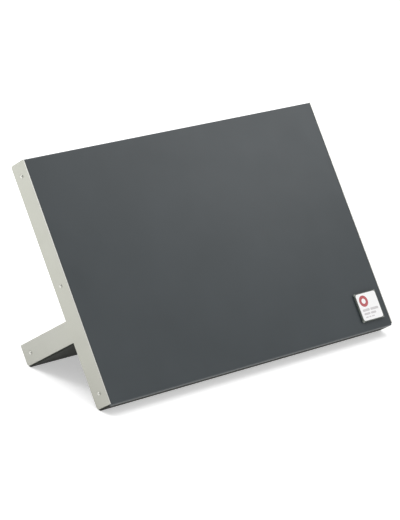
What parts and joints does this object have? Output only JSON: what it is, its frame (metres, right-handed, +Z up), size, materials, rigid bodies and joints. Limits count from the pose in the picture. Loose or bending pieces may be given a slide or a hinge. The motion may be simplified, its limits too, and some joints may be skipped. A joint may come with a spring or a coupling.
{
  "type": "magnetic knife board",
  "caption": "Dark rectangular board leaning back on a short full-width leg, with one-piece T-shaped steel side plates, hidden magnets and a small square badge.",
  "frame": {"origin": "under the middle of the bounding box, on the surface that the board stands on", "axes": "+X to the right along the width of the board, the face turned to -Y and up, +Z up"},
  "size_m": [0.334, 0.1502, 0.1726],
  "materials": {
    "dark_lacquer": "satin",
    "brushed_plate": "satin",
    "pin_steel": "polished",
    "zinc_steel": "satin",
    "ferrite": "matte",
    "dowel_wood": "matte",
    "foam_tape": "matte",
    "badge_block": "gloss",
    "badge_print": "satin"
  },
  "bodies": {
    "root": {"front_panel": "dark_lacquer", "core_panel": "dark_lacquer", "leg_panel": "dark_lacquer", "left_side_plate": "brushed_plate", "left_top_pin": "pin_steel", "left_middle_pin": "pin_steel", "left_bottom_pin": "pin_steel", "left_leg_pin": "pin_steel", "right_side_plate": "brushed_plate", "right_top_pin": "pin_steel", "right_middle_pin": "pin_steel", "right_bottom_pin": "pin_steel", "right_leg_pin": "pin_steel", "lower_keeper_strip": "zinc_steel", "lower_magnet_1": "ferrite", "lower_magnet_2": "ferrite", "lower_magnet_3": "ferrite", "lower_magnet_4": "ferrite", "lower_magnet_5": "ferrite", "upper_keeper_strip": "zinc_steel", "upper_magnet_1": "ferrite", "upper_magnet_2": "ferrite", "upper_magnet_3": "ferrite", "upper_magnet_4": "ferrite", "upper_magnet_5": "ferrite", "left_leg_screw": "zinc_steel", "middle_leg_screw": "zinc_steel", "right_leg_screw": "zinc_steel", "left_leg_dowel": "dowel_wood", "right_leg_dowel": "dowel_wood", "badge_adhesive": "foam_tape", "badge_base": "badge_block", "badge_card": "badge_print"}
  },
  "joints": []
}
